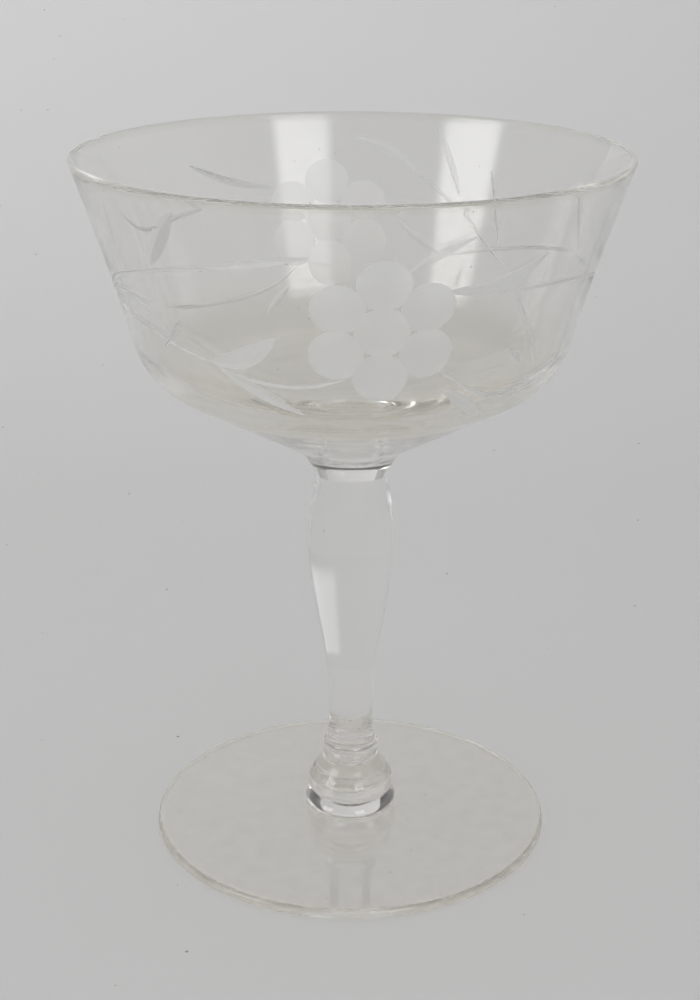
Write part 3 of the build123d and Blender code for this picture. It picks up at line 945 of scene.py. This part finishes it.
# %% Bowl
def weld_band(plain):
    """The plain bowl with its band of wall replaced by the cut sheet."""
    at = np.array([v.co for v in plain.vertices]) / MM
    radius, z = np.hypot(at[:, 0], at[:, 1]), at[:, 2]
    wall_radius = wall_at(np.clip(z, rows[0][1], rows[-1][1]))[0]
    on_wall = abs(radius - wall_radius) < WELD * 5
    on_band = (z > rows[0][1] - WELD) & (z < rows[-1][1] + WELD) & on_wall
    corner = [c.vector[:] for c in plain.corner_normals]
    faces, normals, finish = [], [], []
    for face in plain.polygons:
        if not all(on_band[i] for i in face.vertices):
            faces.append(tuple(face.vertices))
            normals.extend(corner[i] for i in face.loop_indices)
            finish.append(face.material_index)
    tree = KDTree(len(at))
    for i, spot in enumerate(at):
        tree.insert(spot, i)
    tree.balance()
    places_now, index = [tuple(p) for p in at], []
    for place in places:
        _, i, far = tree.find(place)
        if far > WELD:
            i = len(places_now)
            places_now.append(tuple(place))
        index.append(i)
    for corners, facings, cut in zip(triangles, sheet_normals, is_cut):
        faces.append(tuple(index[i] for i in corners))
        normals.extend(map(tuple, facings))
        finish.append(GROUND if cut else CLEAR)
    used = sorted({i for face in faces for i in face})
    renumber = {old: new for new, old in enumerate(used)}
    mesh = bpy.data.meshes.new("bowl_glass")
    mesh.from_pydata([[v * MM for v in places_now[i]] for i in used], [],
                     [[renumber[i] for i in face] for face in faces])
    for material in (bowl_clear, hot_joint, ground):
        mesh.materials.append(material)
    mesh.polygons.foreach_set("use_smooth", [True] * len(faces))
    mesh.polygons.foreach_set("material_index", finish)
    mesh.normals_split_custom_set(normals)
    return mesh


whole_bowl = joined(run((0, JOINT_Z), (STEM_TOP_RADIUS, JOINT_Z), ACROSS), outside, lip, inside)
plain = turned("plain_bowl", whole_bowl, bowl_clear)
close_joints(plain, bowl_clear, (JOINT_Z,))
bowl = placed("bowl", weld_band(plain))
bpy.data.meshes.remove(plain)
check = bmesh.new()
check.from_mesh(bowl.data)
print("bowl", len(check.faces), "faces,", sum(not e.is_manifold for e in check.edges), "open edges,",
      "volume", round(check.calc_volume() / MM**3, 1), "cubic mm")
check.free()

# %% [markdown]
# ## Paper
# The glass stands on a sheet of matt paper that rises behind it in one bend, so
# that no corner shows. A bent plane would do; a strip of faces along a profile
# says exactly where the bend is. The sheet is narrow, because paper at the sides
# would shine into the bowl's rim.

# %% Paper
PAPER_LIGHT, PAPER_DARK = (0.73, 0.73, 0.73, 1), (0.70, 0.70, 0.70, 1)
PAPER_SPECK = (0.34, 0.31, 0.29, 1)


def matt_paper():
    """Matt paper, faintly mottled, with a few specks of dust."""
    batch = Batch("matt_paper")
    spot = batch.add("ShaderNodeTexCoord", out="Object")
    tooth = batch.noise(spot, 2600, 3.0, 1.0)
    bump = batch.add("ShaderNodeBump", Strength=0.25, Distance=0.00004, Height=tooth)
    mottle = batch.noise(spot, 5, 3.0, 2.0)
    plain = batch.between(mottle, PAPER_DARK, PAPER_LIGHT)
    dusty = specks(batch, spot, 110, 0.035, 0.30, 1.3) + specks(batch, spot, 260, 0.040, 0.14, 5.3)
    return batch.finish(batch.mixed(dusty, batch.matt(plain, Normal=bump), batch.matt(PAPER_SPECK)))


PAPER_HALF = 0.42                       # half of its width
PAPER_FRONT = -1.2
PAPER_TURN = 0.18                       # where the sheet starts to rise
PAPER_BEND = 0.60
PAPER_TOP = 2.2
GLASS_GAP = 0.0001                      # the foot's ring never quite touches
bend = np.linspace(0.1, pi / 2, 16)
profile = [(PAPER_FRONT, 0.0), (0.0, 0.0), (PAPER_TURN, 0.0)]
profile += [(PAPER_TURN + PAPER_BEND * sin(a), PAPER_BEND * (1 - cos(a))) for a in bend]
profile += [(PAPER_TURN + PAPER_BEND, PAPER_TOP)]
strips = range(len(profile) - 1)
sheet_mesh = bpy.data.meshes.new("paper")
sheet_mesh.from_pydata([(x, y, z - GLASS_GAP) for y, z in profile for x in (-PAPER_HALF, PAPER_HALF)], [],
                       [(2 * i, 2 * i + 1, 2 * i + 3, 2 * i + 2) for i in strips])
sheet_mesh.polygons.foreach_set("use_smooth", [True] * len(strips))
sheet_mesh.materials.append(matt_paper())
paper = bpy.data.objects.new("paper", sheet_mesh)
bpy.context.collection.objects.link(paper)
print("paper is", len(strips), "strips,", 2 * PAPER_HALF, "m wide")

# %% [markdown]
# ## Room
# Clear glass has no look of its own: it shows the room, bent. The room here has
# pale walls at the sides, a dimmer one behind the camera and a dark ceiling, and
# that is what draws the dark line at the neck and the grey in the rims. It is a
# background that changes with direction, because walls would block lamps.

# %% Room
WALL_BEHIND_CAMERA = 0.36
WALLS_AT_SIDES = 0.48
CEILING = 0.10


def smooth_step(tree, value, low, high, at_low=0.0, at_high=1.0):
    """at_low below low, at_high above high, and a smooth change between."""
    return node(tree, "ShaderNodeMapRange", {"interpolation_type": "SMOOTHSTEP"}, Value=value, From_Min=low,
                From_Max=high, To_Min=at_low, To_Max=at_high).outputs[0]


world = bpy.data.worlds.new("pale_room")
world.use_nodes = True
room = world.node_tree
room.nodes.clear()
way = node(room, "ShaderNodeTexCoord").outputs["Generated"]
heading = node(room, "ShaderNodeSeparateXYZ", Vector=way)
aside = maths(room, "ABSOLUTE", heading.outputs["X"])
walls = smooth_step(room, aside, 0.2, 0.7, WALL_BEHIND_CAMERA, WALLS_AT_SIDES)
up = smooth_step(room, heading.outputs["Z"], 0.25, 0.60)
level = node(room, "ShaderNodeMix", {"data_type": "FLOAT"}, i0=up, i2=walls, i3=CEILING).outputs[0]
glow = node(room, "ShaderNodeBackground", Color=(1, 1, 1, 1), Strength=level)
node(room, "ShaderNodeOutputWorld", Surface=glow.outputs[0])
bpy.context.scene.world = world
print("room is", len(room.nodes), "nodes")

# %% [markdown]
# ## Lamps
# Two softboxes stand in front and show as the two tall bright bands in the bowl.
# A plain area lamp would show as a hard white card, so nodes fade it towards its
# edges. Two more lamps, one overhead and one washing the paper where it rises,
# only light the paper; they are hidden from the glass, which would show them.

# %% Softboxes
TABLE_AIM = Vector((0, 0, 0.08))        # about the middle of the glass


def softbox(name, turn, rise, away, size, glow, fade, aim=TABLE_AIM):
    """A lamp at turn and rise degrees from the front of aim, away metres off, fading over its outer share."""
    a, e = radians(turn), radians(rise)
    spot = Vector((sin(a) * cos(e), -cos(a) * cos(e), sin(e))) * away
    data = bpy.data.lights.new(name, "AREA")
    data.shape = "RECTANGLE"
    data.size, data.size_y = size
    data.energy = glow * pi * size[0] * size[1]
    data.use_nodes = True
    tree = data.node_tree
    tree.nodes.clear()
    place = node(tree, "ShaderNodeNewGeometry").outputs["Parametric"]
    across = node(tree, "ShaderNodeSeparateXYZ", i0=place)
    shares = []
    for side in across.outputs[:2]:
        off_middle = maths(tree, "ABSOLUTE", maths(tree, "SUBTRACT", side, 0.5))
        shares.append(smooth_step(tree, off_middle, 0.5, 0.5 - fade))
    strength = maths(tree, "MULTIPLY", *shares)
    shine = node(tree, "ShaderNodeEmission", Color=(1, 1, 1, 1), Strength=strength)
    node(tree, "ShaderNodeOutputLight", Surface=shine.outputs[0])
    lamp = bpy.data.objects.new(name, data)
    lamp.location = spot + aim
    lamp.rotation_mode = "QUATERNION"
    lamp.rotation_quaternion = spot.to_track_quat("Z", "Y")     # a lamp shines down its own Z
    bpy.context.collection.objects.link(lamp)
    print(name, "shines from", [round(v, 2) for v in lamp.location])
    return lamp


wash = softbox("backdrop_wash", turn=-48, rise=42, away=0.9, size=(0.5, 0.5), glow=1.0, fade=0.3,
               aim=Vector((-0.30, 0.60, 0.20)))
wash.data.spread = radians(75)
overhead = softbox("overhead", turn=0, rise=90, away=1.3, size=(1.2, 1.2), glow=3.15, fade=0.3)
for lamp in (wash, overhead):
    lamp.visible_glossy = False
    lamp.visible_transmission = False
softbox("left_softbox", turn=-60, rise=20, away=1.2, size=(0.66, 0.76), glow=3.2, fade=0.20)
softbox("right_softbox", turn=25, rise=21, away=1.2, size=(0.64, 0.84), glow=3.05, fade=0.22)

# %% [markdown]
# ## Camera and the way light is followed
# The camera stands a little over two glass heights away and looks down at
# twenty degrees. Light goes round many times inside thick glass before it
# leaves, so Cycles is allowed to follow it further than usual; cut short, the
# knops and the rims would go black.

# %% Camera
LOOK_DOWN = 0.3529                      # radians, as the two below
LOOK_ASIDE = 0.00166
LEAN = -0.0025
BACK, ABOVE = 2.4097, 1.3947            # in heights of the glass
BOUNCES = 160
tall = size_at_start[1][2]
optics = bpy.data.cameras.new("camera")
optics.sensor_width = 36
optics.lens = 65.07
camera = bpy.data.objects.new("camera", optics)
camera.location = (0.0, -BACK * tall, ABOVE * tall)
camera.rotation_euler = (pi / 2 - LOOK_DOWN, LEAN, LOOK_ASIDE)
bpy.context.collection.objects.link(camera)
scene = bpy.context.scene
scene.camera = camera
scene.view_settings.view_transform = "Standard"
scene.cycles.max_bounces = BOUNCES
scene.cycles.glossy_bounces = BOUNCES
scene.cycles.transmission_bounces = BOUNCES
scene.cycles.transparent_max_bounces = 64
print("camera stands", round(BACK * tall, 3), "m back and", round(ABOVE * tall, 3), "m up")
